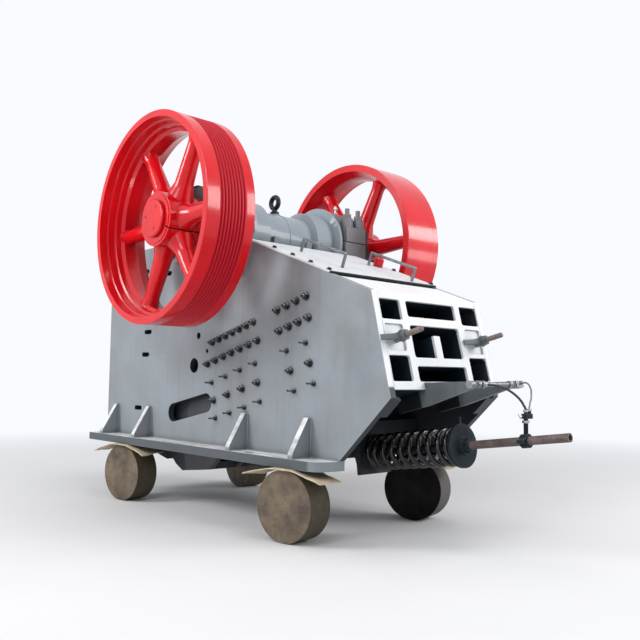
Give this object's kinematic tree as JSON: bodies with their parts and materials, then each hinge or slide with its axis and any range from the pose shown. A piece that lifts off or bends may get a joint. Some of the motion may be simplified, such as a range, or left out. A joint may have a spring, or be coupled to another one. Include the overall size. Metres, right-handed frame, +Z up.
{
  "type": "jaw crusher",
  "caption": "Jaw crusher with red spoked flywheels on an eccentric shaft, moving jaw, ribbed rear frame and spring-held tension rod, standing on round supports.",
  "frame": {"origin": "on the floor below the middle of the whole object, centred between the two flywheels", "axes": "+X from the feed end to the toggle and tension rod end, +Y along the shaft from the grooved flywheel to the plain one, +Z up"},
  "size_m": [4.2276, 2.296, 2.875],
  "materials": {
    "body_paint": "mid grey machine paint, satin, dusty",
    "pale_paint": "pale grey machine paint, satin",
    "wheel_paint": "bright red paint over cast iron, glossy",
    "dark_steel": "dark steel, oiled",
    "bare_steel": "bare machined steel, greasy",
    "rusty_steel": "brown rust over round bar",
    "hose_rubber": "black hydraulic hose",
    "drum_steel": "brown rusty steel, worn and muddy",
    "packing_board": "crumpled brown packing board"
  },
  "bodies": {
    "frame": {"side_plate_left": "body_paint", "side_plate_right": "body_paint", "base_rail_left": "body_paint", "base_rail_right": "body_paint", "front_wall": "body_paint", "fixed_jaw_plate": "dark_steel", "cheek_plate_left": "bare_steel", "cheek_plate_right": "bare_steel", "rear_frame": "pale_paint", "lock_rod_left": "rusty_steel", "lock_rod_right": "rusty_steel", "support_arm_left": "body_paint", "support_arm_right": "body_paint", "hydraulic_pipe": "bare_steel", "hydraulic_hose": "hose_rubber", "return_hose": "hose_rubber", "rod_clamp": "bare_steel", "tension_rod": "rusty_steel", "tension_spring": "dark_steel", "spring_seat": "dark_steel", "spring_bracket": "body_paint", "toggle_plate": "bare_steel", "toggle_beam": "body_paint", "bearing_housing_left": "body_paint", "bearing_housing_right": "body_paint", "top_cover_left": "pale_paint", "top_cover_right": "pale_paint", "cover_handle_left": "dark_steel", "cover_handle_right": "dark_steel", "filler_neck": "wheel_paint", "side_bolts_left": "dark_steel", "side_bolts_right": "dark_steel", "support_drum_front_left": "drum_steel", "support_drum_front_right": "drum_steel", "support_drum_rear_left": "drum_steel", "support_drum_rear_right": "drum_steel", "packing_sheets": "packing_board"},
    "rotor": {"eccentric_shaft": "bare_steel", "flywheel_left": "wheel_paint", "flywheel_right": "wheel_paint", "hub_cover_left": "wheel_paint", "hub_cover_right": "wheel_paint"},
    "pitman": {"pitman": "body_paint", "swing_jaw_plate": "dark_steel", "lifting_eye": "dark_steel"}
  },
  "joints": [
    {"name": "shaft_spin", "type": "hinge", "parent": "frame", "child": "rotor", "pos_m": [-0.4338, 0, 2.125], "axis": [0, 1, 0], "continuous": true},
    {"name": "pitman_swing", "type": "hinge", "parent": "rotor", "child": "pitman", "pos_m": [-0.4338, 0, 2.11], "axis": [0, 1, 0], "continuous": true}
  ],
  "couplings": [
    {"joint": "pitman_swing", "follows": "shaft_spin", "ratio": -1}
  ]
}
